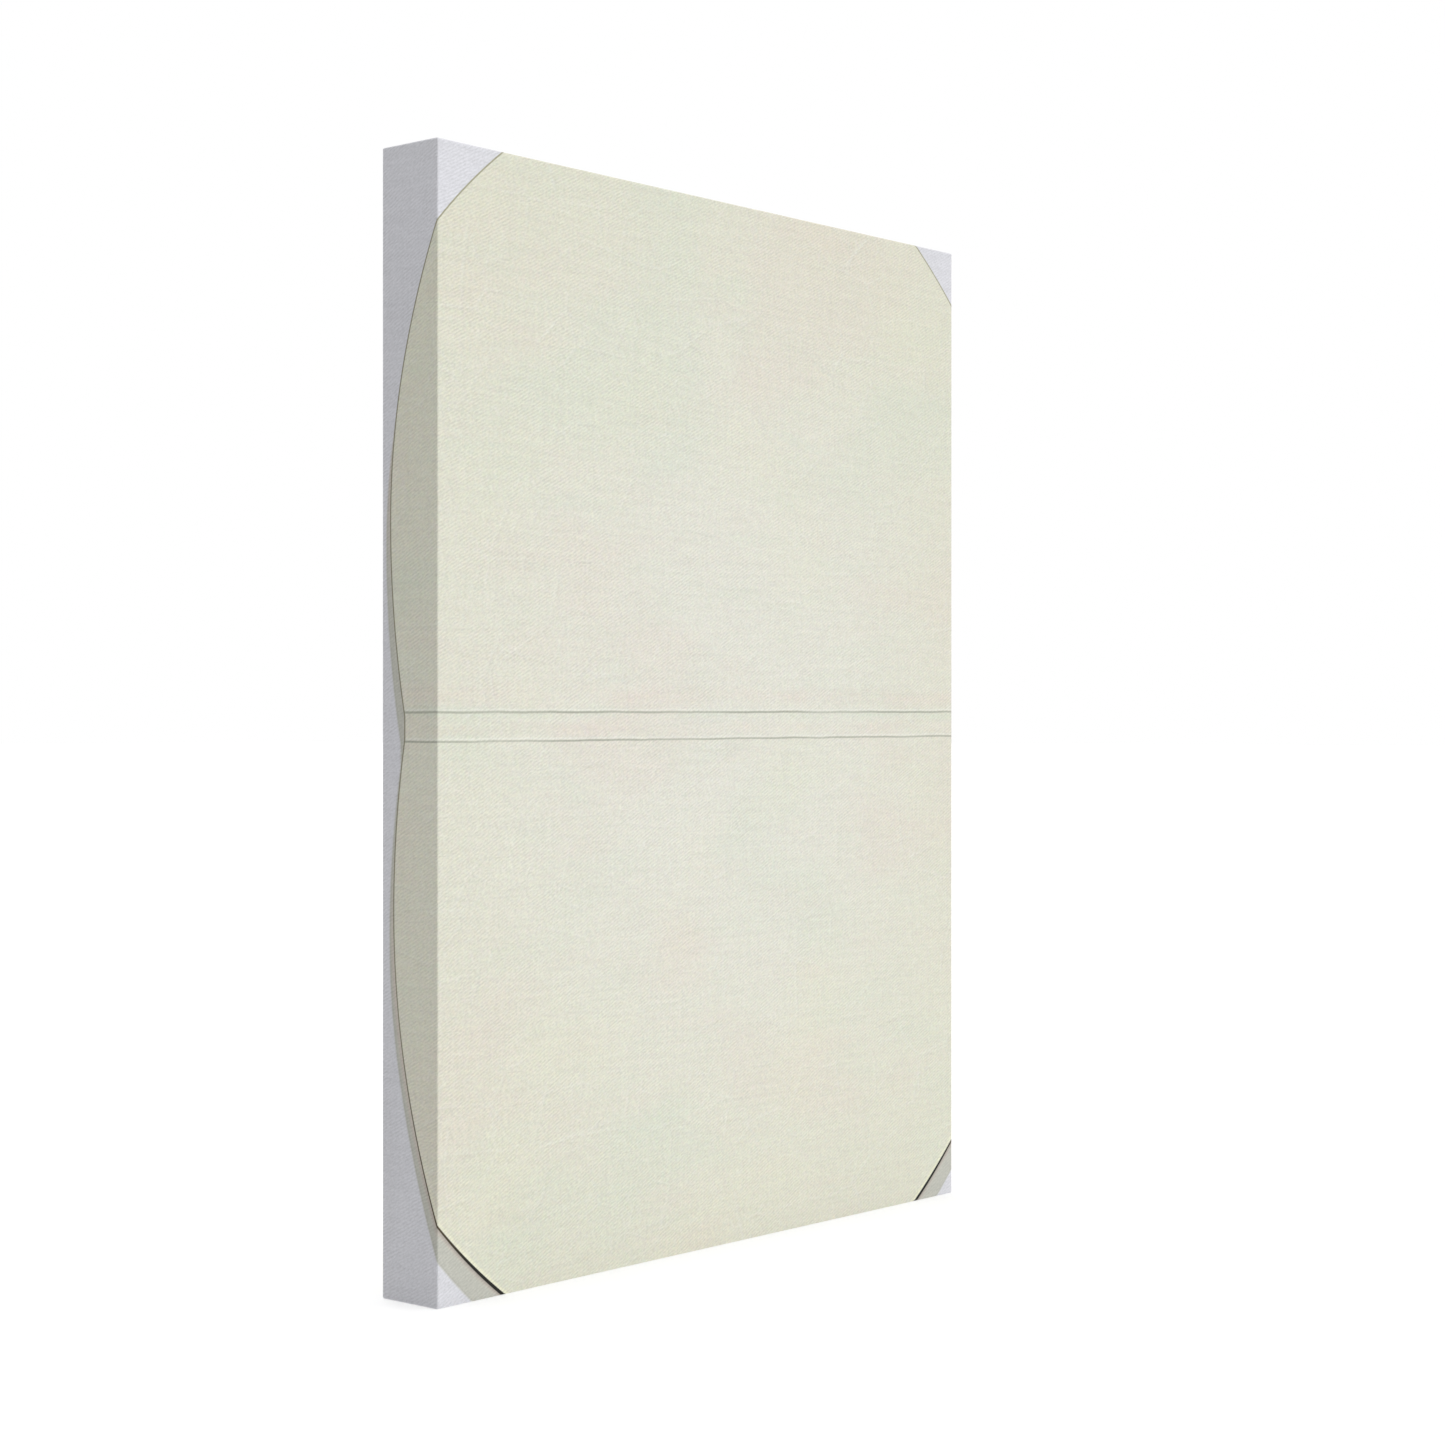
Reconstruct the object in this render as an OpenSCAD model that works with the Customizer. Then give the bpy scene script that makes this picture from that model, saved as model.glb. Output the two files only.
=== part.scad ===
// Stretched canvas: a gallery-wrapped cloth on a keyed wooden stretcher, with its hangers.
// The picture faces -Y and the canvas stands on its bottom edge at z = 0. The origin is the
// middle of that edge, halfway through the depth. Left and right are as seen from the front.
// All lengths are in millimetres.

/* [Canvas] */
// Width over the wrapped canvas
canvas_w = 450; // [300:10:900]
// Height over the wrapped canvas
canvas_h = 600; // [300:10:1200]
// Thickness of the primed cloth
cloth_t = 0.7; // [0.4:0.1:1.0]
// Width of the flap that is turned over onto the back
flap_w = 22; // [20:1:23]

/* [Stretcher bars] */
// Width of a bar, seen from the front or back
bar_w = 38; // [36:1:50]
// Depth of a bar, from front to back
bar_d = 40; // [32:1:50]
// Width of the raised outer lip that the cloth bears on
lip_w = 6; // [3:1:10]
// How far the front face falls away behind the cloth
front_relief = 4; // [2:0.5:6]
// Thickness of each of the two corner tongues
tongue_t = 6; // [5:0.5:8]
// How far each bar can slide inwards when its keys are slackened
bar_travel = 1; // [0.5:0.1:1.5]

/* [Keys] */
// Length of a key
key_l = 50; // [45:1:55]
// Width of a key at its tip
key_tip_w = 6; // [4:0.5:8]
// Widening of a key per millimetre of its length
key_slope = 0.2; // [0.15:0.01:0.2]
// How far a key's tip is driven into the neighbouring bar
key_reach = 22; // [16:1:26]

/* [Staples] */
// Length of a staple's crown
staple_w = 10; // [8:1:12]
// Thickness of the staple wire across the crown
staple_wire_w = 0.9; // [0.7:0.1:1.2]
// Thickness of the staple wire out of the cloth
staple_wire_t = 0.6; // [0.5:0.1:0.7]
// Length of a staple's legs in the wood
staple_leg = 8; // [6:1:10]
// Greatest distance between two staples
staple_pitch = 44; // [35:1:60]

/* [Hangers] */
// Height of the ring hinges below the top edge
hanger_drop = 150; // [100:10:200]
// Distance of a hanger's middle from the side of the canvas
hanger_inset = 31; // [30:0.5:32]
// Width of the hanger strap
strap_w = 10; // [8:1:10]
// Thickness of the hanger strap
strap_t = 1; // [1:0.1:1.2]
// Thickness of the ring wire
ring_wire = 2; // [1.8:0.1:2]
// Width of the ring over the middle of its wire
ring_w = 15; // [15:1:16]

/* [Bumper pads] */
// Diameter of a pad where it sticks to the canvas
pad_d = 12; // [10:1:12]
// Height of a pad
pad_h = 4; // [4:0.5:6]

/* [Hidden] */
$fn = 64;

// Clearances
slip = 0.05;                                // between the cloth and the wood that slides in it
fit = 0.1;                                  // between a tongue or key and the slot beside it
key_ease = key_slope * bar_travel + slip;   // lets the neighbouring bar slide past a key

// Overall depths: the wood lies between -bar_d / 2 and bar_d / 2
edge = cloth_t + slip;                      // from the outside of the canvas to the wood
depth = bar_d + 2 * edge;
back = bar_d / 2;                           // back face of the wood
flap_back = depth / 2;                      // outside of the flap on the back

// Bars: outer lengths, mitre and joint
bar_len_across = canvas_w - 2 * edge;
bar_len_upright = canvas_h - 2 * edge;
mitre_setback = bar_travel + 2 * fit;       // measured along the bar, on each side of a corner
tongue_end = bar_travel + 5 * fit;          // tongue stops short of the neighbour's outer face
key_mouth_w = key_tip_w + key_slope * key_reach;
slot_len = bar_w + fit + key_mouth_w + key_ease;
lip_bevel = 3.5;
chamfer = 1;

// Keys
key_t = tongue_t - 6 * fit;
key_nose = 2;

// Staples lie in a row along the middle of each flap
staple_inset = 12;
staple_end = 26;                            // first and last staple, from the corner

// Hangers
wire_r = ring_wire / 2;
hinge_r = wire_r + slip;                    // bore of the strap's curl
hinge_out = strap_t + hinge_r;              // hinge axis behind the wood
hanger_z = canvas_h - hanger_drop;
hanger_x = canvas_w / 2 - hanger_inset;
strap_len = 24;
screw_drop = 17.5;                          // screw below the hinge
screw_r = 1.5;
screw_len = 14;
head_r = 3.5;
head_h = 1.8;
ring_corner_r = 2;
ring_side = 1.5;

// Bumper pads
pad_inset = 10.5;
pad_round = 1.5;

// Places a bar drawn along the bottom edge onto one of the four sides:
// turn 0 is the bottom, 90 the left, 180 the top and 270 the right
module on_side(turn) {
    across = turn % 180 == 0;
    reach = (across ? canvas_h : canvas_w) / 2;
    translate([0, 0, canvas_h / 2]) rotate([0, turn, 0]) translate([0, 0, -reach]) children();
}

// Places children a given distance along the bottom edge, from the corner at end -1 or 1
module from_corner(len, end, distance) {
    translate([end * (len / 2 - distance), 0, 0]) children();
}

function side_len(turn) = turn % 180 == 0 ? canvas_w : canvas_h;

// Evenly spaced places for the staples of a side, from its middle
function staple_places(len) =
    let (run = len - 2 * staple_end, gaps = ceil(run / staple_pitch))
    [for (i = [0 : gaps]) -run / 2 + i * run / gaps];

// Cloth: front, four sides and four flaps, with slots in which the staples' legs can slide
module canvas() {
    inner_w = canvas_w - 2 * cloth_t;
    inner_h = canvas_h - 2 * cloth_t;
    inner_d = depth - 2 * cloth_t;
    color("gainsboro") difference() {
        translate([-canvas_w / 2, -depth / 2, 0]) cube([canvas_w, depth, canvas_h]);
        translate([-inner_w / 2, -inner_d / 2, cloth_t]) cube([inner_w, inner_d, inner_h]);
        translate([flap_w - canvas_w / 2, 0, flap_w])
            cube([canvas_w - 2 * flap_w, depth, canvas_h - 2 * flap_w]);
        for (turn = [0, 90, 180, 270]) on_side(turn) staple_slots(side_len(turn));
    }
}

// Slots through a flap, each as wide as a leg and long enough for the bar's travel
module staple_slots(len) {
    slot_w = staple_wire_t + 2 * fit;
    slot_l = staple_wire_w + bar_travel + 2 * fit;
    leg = (staple_w - staple_wire_t) / 2;
    for (x = staple_places(len), s = [-1, 1])
        translate([x + s * leg - slot_w / 2, back, staple_inset - staple_wire_w / 2 - fit])
            cube([slot_w, 2 * edge, slot_l]);
}

// Section of a bar, [depth, distance from the outer edge], with the raised lip at the front
module bar_section() {
    polygon([
        [-back, 0], [-back, lip_w], [-back + front_relief - 1.5, lip_w + lip_bevel],
        [-back + front_relief, bar_w], [back - chamfer, bar_w], [back, bar_w - chamfer],
        [back, chamfer / 2], [back - chamfer / 2, 0]
    ]);
}

// Outline of a bar's cheeks, mitred at both ends
module mitred_outline(len) {
    end = len / 2 - mitre_setback;
    polygon([[-end, 0], [end, 0], [end - bar_w, bar_w], [bar_w - end, bar_w]]);
}

// A bar along the bottom edge: a tongue in the front layer at its left end, one in the back
// layer at its right end, and a slot beside each that takes the neighbour's tongue and key
module stretcher_bar(turn) {
    len = side_len(turn) - 2 * edge;
    color("burlywood") on_side(turn) translate([0, 0, edge]) difference() {
        intersection() {
            rotate([90, 0, 90]) linear_extrude(len, center = true) bar_section();
            union() {
                rotate([90, 0, 0]) linear_extrude(bar_d, center = true) mitred_outline(len);
                tongue(len, -1);
                tongue(len, 1);
            }
        }
        slot(len, -1);
        slot(len, 1);
    }
}

// Tongue at one end of a bar
module tongue(len, end) {
    reach = len / 2 - tongue_end;
    translate([end < 0 ? -reach : 0, end < 0 ? -tongue_t : 0, 0]) cube([reach, tongue_t, bar_w]);
}

// Slot at one end of a bar, in the layer beside its tongue, open at the end of the bar
module slot(len, end) {
    wide = tongue_t + 2 * fit;
    near = len / 2 - slot_len;
    translate([end < 0 ? -len : near, end < 0 ? -fit : fit - wide, -fit])
        cube([len - near, wide, bar_w + 2 * fit]);
}

// A key lying along the inner edge of a bar, with its tip in the neighbour's slot at one end
module key(turn, end) {
    len = side_len(turn) - 2 * edge;
    butt_w = key_tip_w + key_slope * key_l;
    color("wheat") on_side(turn)
        from_corner(len, end, bar_w - key_reach)
            translate([0, end * tongue_t / 2, edge + bar_w + slip])
                rotate([90, 0, 0]) linear_extrude(key_t, center = true) scale([-end, 1])
                    polygon([
                        [0, 0], [key_l, 0], [key_l, butt_w - key_nose],
                        [key_l - key_nose, butt_w - key_slope * key_nose],
                        [key_nose, key_tip_w + key_slope * key_nose],
                        [0, key_tip_w - key_nose]
                    ]);
}

// The staples of one side: a crown on the flap and two legs in the wood
module staples(turn) {
    leg = (staple_w - staple_wire_t) / 2;
    crown_back = flap_back + slip;
    color("silver") on_side(turn) for (x = staple_places(side_len(turn)))
        translate([x, 0, staple_inset]) {
            translate([-staple_w / 2, crown_back, -staple_wire_w / 2])
                cube([staple_w, staple_wire_t, staple_wire_w]);
            for (s = [-1, 1])
                translate([s * leg - staple_wire_t / 2, back - staple_leg, -staple_wire_w / 2])
                    cube([staple_wire_t, staple_leg + crown_back + staple_wire_t - back,
                          staple_wire_w]);
        }
}

// Places a hanger piece with its hinge on the back of the left (-1) or right (1) bar
module at_hanger(side) {
    translate([side * hanger_x, back, hanger_z]) children();
}

// Hanger strap: a flat tail with a screw hole and an end curled round the ring
module hanger_strap(side) {
    color("silver") at_hanger(side) difference() {
        union() {
            rotate([-90, 0, 0]) linear_extrude(strap_t) {
                translate([-strap_w / 2, 0]) square([strap_w, strap_len - strap_w / 2]);
                translate([0, strap_len - strap_w / 2]) circle(d = strap_w);
            }
            translate([0, hinge_out, 0]) rotate([0, 90, 0])
                cylinder(r = hinge_out, h = strap_w, center = true);
        }
        translate([0, hinge_out, 0]) rotate([0, 90, 0])
            cylinder(r = hinge_r, h = 2 * strap_w, center = true);
        translate([0, strap_t, -screw_drop]) rotate([90, 0, 0])
            cylinder(r = screw_r + 3 * fit, h = 3 * strap_t, center = true);
    }
}

// D-ring: straight side through the strap's curl, two small corners and a round bow
module hanger_ring(side) {
    half = ring_w / 2;
    straight = ring_w - 2 * ring_corner_r;
    color("silver") at_hanger(side) translate([0, hinge_out, 0]) {
        rotate([0, 90, 0]) cylinder(r = wire_r, h = straight, center = true);
        for (s = [-1, 1]) {
            translate([s * straight / 2, 0, -ring_corner_r]) rotate([90, 0, 0])
                rotate([0, 0, s < 0 ? 90 : 0]) bend(ring_corner_r, 90);
            translate([s * half, 0, -ring_corner_r - ring_side]) cylinder(r = wire_r, h = ring_side);
        }
        translate([0, 0, -ring_corner_r - ring_side]) rotate([90, 0, 0]) rotate([0, 0, 180])
            bend(half, 180);
    }
}

// A stretch of ring wire bent round a centre
module bend(radius, angle) {
    rotate_extrude(angle = angle) translate([radius, 0]) circle(r = wire_r);
}

// Pan-head wood screw with a cross recess
module hanger_screw(side) {
    recess_w = 0.9;
    recess_l = 4;
    color("silver") at_hanger(side) translate([0, strap_t, -screw_drop]) rotate([-90, 0, 0])
        difference() {
            rotate_extrude() polygon([
                [0, -screw_len], [screw_r, screw_r - screw_len], [screw_r, 0], [head_r, 0],
                [head_r, head_h * 0.45], [head_r * 0.8, head_h * 0.85], [head_r * 0.5, head_h],
                [0, head_h]
            ]);
            for (turn = [0, 90]) rotate(turn)
                translate([-recess_l / 2, -recess_w / 2, head_h * 0.4])
                    cube([recess_l, recess_w, head_h]);
        }
}

// Round stick-on pad at a bottom corner, which keeps the canvas off the wall
module bumper_pad(side) {
    color("dimgray")
        translate([side * (canvas_w / 2 - pad_inset), flap_back, pad_inset]) rotate([-90, 0, 0])
            rotate_extrude() {
                square([pad_d / 2, pad_h - pad_round]);
                square([pad_d / 2 - pad_round, pad_h]);
                translate([pad_d / 2 - pad_round, pad_h - pad_round]) circle(r = pad_round);
            }
}

canvas();
stretcher_bar(0);  // stretcher_bottom
stretcher_bar(90);  // stretcher_left
stretcher_bar(180);  // stretcher_top
stretcher_bar(270);  // stretcher_right
key(0, -1);  // key_bottom_left_across
key(0, 1);  // key_bottom_right_across
key(90, -1);  // key_top_left_upright
key(90, 1);  // key_bottom_left_upright
key(180, -1);  // key_top_right_across
key(180, 1);  // key_top_left_across
key(270, -1);  // key_bottom_right_upright
key(270, 1);  // key_top_right_upright
staples(0);  // staples_bottom
staples(90);  // staples_left
staples(180);  // staples_top
staples(270);  // staples_right
hanger_strap(-1);  // hanger_strap_left
hanger_strap(1);  // hanger_strap_right
hanger_ring(-1);  // hanger_ring_left
hanger_ring(1);  // hanger_ring_right
hanger_screw(-1);  // hanger_screw_left
hanger_screw(1);  // hanger_screw_right
bumper_pad(-1);  // bumper_pad_left
bumper_pad(1);  // bumper_pad_right
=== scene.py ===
"""Looks for the stretched canvas: a printed, gallery-wrapped cloth on a keyed pine stretcher.

The picture faces -Y, the canvas stands on z = 0, and lengths are in metres.
"Cloth coordinates" are the flat, unwrapped cloth seen from the front: p runs to the right and q
upwards from the middle of the picture, and both run on round the edges onto the sides and flaps.
"""
import math
import random

import bpy
import numpy as np
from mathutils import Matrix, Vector, noise


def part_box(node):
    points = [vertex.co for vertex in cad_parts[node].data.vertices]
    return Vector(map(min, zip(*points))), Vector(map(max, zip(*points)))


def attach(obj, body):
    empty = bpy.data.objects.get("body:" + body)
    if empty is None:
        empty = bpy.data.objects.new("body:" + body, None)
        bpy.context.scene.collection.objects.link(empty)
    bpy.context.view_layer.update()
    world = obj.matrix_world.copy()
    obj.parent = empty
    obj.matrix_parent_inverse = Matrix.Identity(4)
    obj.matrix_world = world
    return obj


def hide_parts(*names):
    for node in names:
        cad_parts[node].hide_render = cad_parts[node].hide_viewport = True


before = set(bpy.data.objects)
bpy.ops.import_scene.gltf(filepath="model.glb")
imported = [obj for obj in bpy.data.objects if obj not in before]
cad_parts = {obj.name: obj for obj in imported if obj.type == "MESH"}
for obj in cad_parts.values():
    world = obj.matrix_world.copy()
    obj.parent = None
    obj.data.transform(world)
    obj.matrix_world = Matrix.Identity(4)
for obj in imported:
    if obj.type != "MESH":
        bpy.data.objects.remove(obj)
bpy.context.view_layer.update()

MM = 0.001

# ---------------------------------------------------------------- sizes, from the frame
canvas_lo, canvas_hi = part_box("canvas")
CANVAS_W = canvas_hi.x - canvas_lo.x
CANVAS_H = canvas_hi.z - canvas_lo.z
CANVAS_D = canvas_hi.y - canvas_lo.y
HALF = Vector((CANVAS_W, CANVAS_D, CANVAS_H)) / 2
MIDDLE = (canvas_lo + canvas_hi) / 2
WOOD_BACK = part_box("stretcher_top")[1].y
SIDES = ("bottom", "right", "top", "left")

# Cloth
CLOTH_T = 0.6 * MM
FLAP_W = 22 * MM
EDGE_R = 1.0 * MM              # how sharply the cloth turns over the bars
GRID = 4.2 * MM                # widest spacing of the cloth's mesh
FRONT_SLACK = 0.45 * MM        # how far the middle of the front lies back
FRONT_RIPPLE = 0.10 * MM
SIDE_RIPPLE = 0.03 * MM
PUCKER = 0.6 * MM              # rise of the flaps between two staples
STAPLE_DENT = 0.10 * MM
PLEAT = 1.0 * MM               # rise of the upper flap beside a mitre
CUT_WANDER = 0.5 * MM          # how far the cut edge of the flaps wanders
THREAD_R = 0.11 * MM
PRINT_BLEED = 6 * MM           # how far the print runs onto the flaps

# Staples
STAPLE_W = 10 * MM
STAPLE_WIRE_W = 0.9 * MM
STAPLE_WIRE_T = 0.6 * MM
STAPLE_LEG = 8 * MM
STAPLE_BEND = 0.8 * MM
STAPLE_INSET = 12 * MM
STAPLE_END = 26 * MM
STAPLE_PITCH = 44 * MM
STAPLE_SWAY = 2.5              # degrees a staple may be turned off its row
STAPLE_SHIFT = 0.3 * MM
STAPLE_BACK_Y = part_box("staples_top")[1].y - STAPLE_WIRE_T / 2

# Print: two soft lobes, one above the other, meeting at a fold across the middle
LOBE_RIGHT = 4 * MM            # both lobes sit a little right of the middle
LOBE_TUCK = 3.3 * MM           # so the right side's outline meets the front's at the edge
LOBE_UP = (105 * MM, 264 * MM, -1, 1.50)      # middle, half width, way to the waist, curve
LOBE_DOWN = (-98 * MM, 261.6 * MM, 1, 1.28)
WAIST_CURVE = 1.05             # how much each lobe narrows towards the waist, per metre
WAIST = 253.2 * MM
CORNER_R = 360 * MM            # the front's corners are cut off by four wide arcs
CORNER_X = -34 * MM
CORNER_Z = 11.6 * MM
FOLD_TOP = 6.4 * MM
FOLD_LOW = -8.9 * MM
FOLD_TILT = 0.0033
SHADE_DROP = 18.5 * MM         # the printed shade lies this far below its lobe
SHADE_SIDE_DROP = 14 * MM
SHADE_OUT = 3.2 * MM
TWILL_ANGLE = math.radians(27)
TWILL_PITCH = 1.75 * MM
TWILL_DRIFT = 2.2 * MM         # how far uneven yarns push the ribs aside
RIB_FAINT, RIB_CLEAR = 0.028, 0.062           # shares of the weave's height
YARN_SHARE = 0.55
SLUB_SHARE = 0.16
DARK_SLUB = 0.10
THREAD_SHARE = 0.10
LUMP_SHARE = 0.16
WEAVE_SPAN = (0.13, 0.67)      # lowest and highest the weave usually gets
WEAVE_GAIN = (0.836, 1.135)    # how dark and how bright it makes the ink there
WEAVE_DEEP = 0.08 * MM
# Creases: scale, seed and width of each layer
CREASES = ((15.0, 0.0, 2.0 * MM), (27.0, 4.0, 1.5 * MM), (22.0, 9.0, 1.5 * MM))
CREASE_BEND = 8 * MM
CREASE_SHADOW = (1.2 * MM, 1.3 * MM)          # a crease's dark side lies this far right and down
WRINKLE_SHADING_APART = 0.009           # height of the painted highlight and the painted shade beside a fine wrinkle
WRINKLE_SHADING_HALF = 0.004
WRINKLE_SHADING_SOFT = 0.012
WRINKLE_SHADING_GAIN = 0.038
FOLD_WOBBLE = 1.6 * MM
CAST_WAVER = 9 * MM
SHADE_TURN = (120 * MM, 270 * MM)             # where the shade's offsets change towards the corners
LINE_THIN = 0.88 * MM          # width of the outline above, and at the lower corners
LINE_THICK = 1.9 * MM
MITRE_SHADOW = 0.45

# Weave of the raw back, and wood
COTTON_PITCH = 0.75 * MM
RING_PITCH = 2.9 * MM
SAW_PITCH = 1.9 * MM
KNOT_SCALE = 7.0               # knots per metre, each way
KNOT_R = 5.5 * MM
KNOT_SWIRL_R = 26 * MM


# ---------------------------------------------------------------- node helper
def srgb(r, g, b):
    """Linear colour from 0-255 sRGB values."""
    def linear(c):
        c /= 255
        return c / 12.92 if c <= 0.04045 else ((c + 0.055) / 1.055) ** 2.4
    return (linear(r), linear(g), linear(b), 1)


class Graph:
    """A material's node tree, written as calls that return output sockets."""

    def __init__(self, name):
        self.material = bpy.data.materials.new(name)
        self.material.use_nodes = True
        self.tree = self.material.node_tree
        self.tree.nodes.clear()

    def plug(self, socket, value):
        if isinstance(value, bpy.types.NodeSocket):
            self.tree.links.new(value, socket)
        elif value is not None:
            socket.default_value = value

    def node(self, kind, settings=None, **inputs):
        made = self.tree.nodes.new(kind)
        for key, value in (settings or {}).items():
            setattr(made, key, value)
        for key, value in inputs.items():
            self.plug(made.inputs[key.replace("_", " ")], value)
        return made

    def math(self, operation, a, b=None, c=None):
        made = self.node("ShaderNodeMath", {"operation": operation})
        for socket, value in zip(made.inputs, (a, b, c)):
            self.plug(socket, value)
        return made.outputs[0]

    def add(self, a, b):
        return self.math("ADD", a, b)

    def sub(self, a, b):
        return self.math("SUBTRACT", a, b)

    def mul(self, a, b):
        return self.math("MULTIPLY", a, b)

    def inside(self, distance, soft):
        """1 where a signed distance is negative, falling to 0 over a soft edge."""
        return self.rise(distance, soft / 2, -soft / 2)

    def band(self, distance, half, soft):
        """1 where a signed distance is within half of zero, with soft edges."""
        return self.inside(self.sub(self.math("ABSOLUTE", distance), half), soft)

    def rise(self, value, low, high, to_low=0.0, to_high=1.0):
        """Smooth step of value from to_low at low to to_high at high."""
        made = self.node("ShaderNodeMapRange", {"interpolation_type": "SMOOTHSTEP"})
        flip = low > high
        ends = (high, low, to_high, to_low) if flip else (low, high, to_low, to_high)
        for socket, number in zip(made.inputs[1:5], ends):
            socket.default_value = number
        self.plug(made.inputs[0], value)
        return made.outputs[0]

    def vector(self, x=0.0, y=0.0, z=0.0):
        made = self.node("ShaderNodeCombineXYZ")
        for socket, value in zip(made.inputs, (x, y, z)):
            self.plug(socket, value)
        return made.outputs[0]

    def parts(self, vector):
        return self.node("ShaderNodeSeparateXYZ", Vector=vector).outputs

    def place(self):
        return self.node("ShaderNodeTexCoord").outputs["Object"]

    def noise(self, vector, scale, detail=2.0, roughness=0.5, distortion=0.0, colour=False):
        made = self.node("ShaderNodeTexNoise", Vector=vector, Scale=scale, Detail=detail,
                         Roughness=roughness, Distortion=distortion)
        return made.outputs["Color" if colour else "Fac"]

    def mix(self, factor, a, b, blend="MIX"):
        made = self.node("ShaderNodeMix", {"data_type": "RGBA", "blend_type": blend})
        self.plug(made.inputs["Factor"], factor)
        self.plug(made.inputs[6], a)
        self.plug(made.inputs[7], b)
        return made.outputs[2]

    def shade(self, colour, gain):
        """Colour times a grey gain."""
        return self.node("ShaderNodeVectorMath", {"operation": "SCALE"},
                         Vector=colour, Scale=gain).outputs[0]

    def bump(self, height, distance):
        return self.node("ShaderNodeBump", Height=height, Distance=distance).outputs[0]

    def finish(self, colour, roughness, normal=None, **fixed):
        """Principled surface. The fixed values stay on its own sockets."""
        shader = self.node("ShaderNodeBsdfPrincipled")
        self.plug(shader.inputs["Base Color"], colour)
        self.plug(shader.inputs["Roughness"], roughness)
        self.plug(shader.inputs["Normal"], normal)
        for key, value in fixed.items():
            shader.inputs[key.replace("_", " ")].default_value = value
        out = self.node("ShaderNodeOutputMaterial")
        self.tree.links.new(shader.outputs[0], out.inputs["Surface"])
        return self.material


# ---------------------------------------------------------------- print on the cloth
FRONT_LIGHT = 1.10             # how bright the studio light makes a white front


def ink(r, g, b):
    """The ink that looks like this sRGB colour on the front of the canvas."""
    return tuple(c / FRONT_LIGHT for c in srgb(r, g, b)[:3]) + (1,)


GROUND = ink(225, 225, 230)
CREAM_MIDDLE = ink(232, 231, 219)
CREAM_EDGE = ink(228, 227, 209)
SHADE = ink(198, 198, 187)
SHADE_WARM = ink(208, 199, 188)
PRIMER = ink(236, 235, 231)
LINE_DARK = ink(12, 10, 3)
LINE_BROWN = ink(84, 72, 50)
LINE_OLIVE = ink(150, 146, 126)
LINE_PALE = ink(170, 168, 142)
FOLD_COLOUR = ink(174, 175, 160)
FOLD_LIGHT = ink(240, 240, 231)
PINK = ink(232, 217, 206)
GREEN = ink(214, 226, 207)
YELLOW = ink(236, 235, 206)
GLOW = ink(244, 243, 215)
FOLD_CASTS = ((2.5 * MM, 8.5 * MM, 2.0, GREEN), (9 * MM, 21 * MM, 5.0, PINK),
              (-7 * MM, 0.5 * MM, 8.0, PINK))           # low, top, seed, ink


def side_arc(g, away, q, lobe, grow, drop):
    """Signed distance to the outline of a lobe on the sides, where it bulges past the edges."""
    centre, half, inward, curve = lobe
    offset = g.mul(g.sub(g.add(q, drop), centre), inward)
    bend = g.math("MULTIPLY_ADD", g.math("GREATER_THAN", offset, 0.0), WAIST_CURVE - curve, curve)
    bulge = g.mul(bend, g.mul(offset, offset))
    return g.sub(g.add(g.sub(away, half), bulge), grow)


def lobes(g, p, q, grow=0.0, side_drop=0.0, front_drop=0.0):
    """Signed distance to the outline of both lobes and the straight waist between the folds."""
    right = g.math("GREATER_THAN", p, 0.0)
    away = g.math("MULTIPLY_ADD", right, -LOBE_TUCK, g.add(g.math("ABSOLUTE", p), LOBE_RIGHT))
    pair = g.math("MINIMUM", side_arc(g, away, q, LOBE_UP, grow, side_drop),
                  side_arc(g, away, q, LOBE_DOWN, grow, side_drop))
    from_folds = g.math("ABSOLUTE", g.sub(g.add(q, side_drop), (FOLD_TOP + FOLD_LOW) / 2))
    across = g.sub(g.sub(away, WAIST), grow)
    waist = g.math("MAXIMUM", across, g.sub(from_folds, (FOLD_TOP - FOLD_LOW) / 2))
    side = g.math("MINIMUM", pair, waist)
    u = g.sub(g.math("ABSOLUTE", g.sub(p, LOBE_RIGHT)), CORNER_X)
    v = g.sub(g.math("ABSOLUTE", g.add(q, front_drop)), CORNER_Z)
    front = g.sub(g.math("SQRT", g.add(g.mul(u, u), g.mul(v, v))), CORNER_R)
    on_side = g.math("GREATER_THAN", g.math("ABSOLUTE", p), HALF.x)
    return g.math("MULTIPLY_ADD", on_side, g.sub(side, front), front)


def fold_line(g, p, q, height, seed, thickness):
    """Strength of a thin printed fold across the cloth, and its signed distance."""
    wobble = g.noise(g.vector(p, seed, 0.0), 26.0, 2.0)
    level = g.add(g.mul(p, FOLD_TILT), g.mul(g.sub(wobble, 0.5), FOLD_WOBBLE))
    away = g.sub(g.sub(q, level), height)
    line = g.band(away, thickness / 2, 0.7 * MM)
    fade = g.rise(g.noise(g.vector(p, 1.0 + seed, 0.0), 14.0, 1.0), 0.3, 0.62, 0.55, 0.92)
    return g.mul(line, fade), away


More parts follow.
